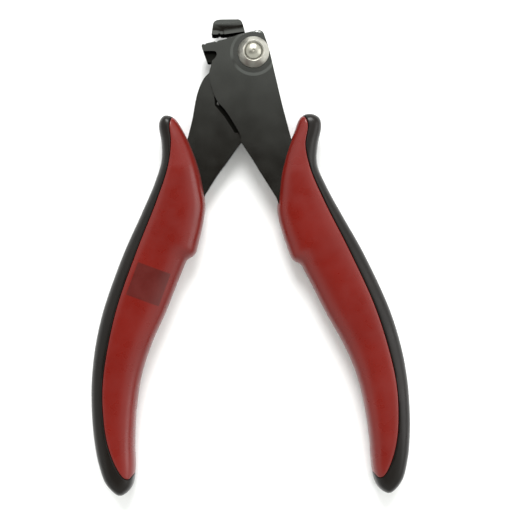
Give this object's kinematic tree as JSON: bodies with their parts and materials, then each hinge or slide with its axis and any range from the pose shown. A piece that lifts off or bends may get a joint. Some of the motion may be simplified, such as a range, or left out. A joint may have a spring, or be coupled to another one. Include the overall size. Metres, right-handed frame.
{
  "type": "crimping pliers",
  "caption": "Lap-joint crimping pliers: two steel plates with side-facing jaws on a riveted pivot, a hidden return spring and two-colour moulded grips.",
  "frame": {"origin": "on the pivot axis, at the flat end of the rivet, which lies in the plane that the tool rests on", "axes": "+Y along the grips' middle line towards the jaws, +Z square to the plates towards the domed side of the rivet, +X away from the open side of the jaws"},
  "size_m": [0.0918, 0.1386, 0.0115],
  "materials": {
    "blackened_steel": "satin, chemically blackened",
    "bare_steel": "turned and polished",
    "spring_steel": "drawn wire",
    "red_plastic": "matt moulded, fine texture",
    "black_rubber": "matt moulded"
  },
  "bodies": {
    "rear_half": {"rear_plate": "blackened_steel", "left_grip_sleeve": "red_plastic", "left_grip_overmould": "black_rubber", "pivot_rivet": "bare_steel", "pivot_bush": "bare_steel", "front_collar": "bare_steel", "rear_collar": "bare_steel", "return_spring": "spring_steel"},
    "front_half": {"front_plate": "blackened_steel", "right_grip_sleeve": "red_plastic", "right_grip_overmould": "black_rubber"}
  },
  "joints": [
    {"name": "pivot", "type": "hinge", "parent": "rear_half", "child": "front_half", "pos_m": [0, 0, 0.0055], "axis": [0, 0, -1], "range_deg": [0, 11], "stiffness_Nm_per_rad": 0.25, "springref_deg": -11.46, "deforming": ["return_spring"]}
  ]
}
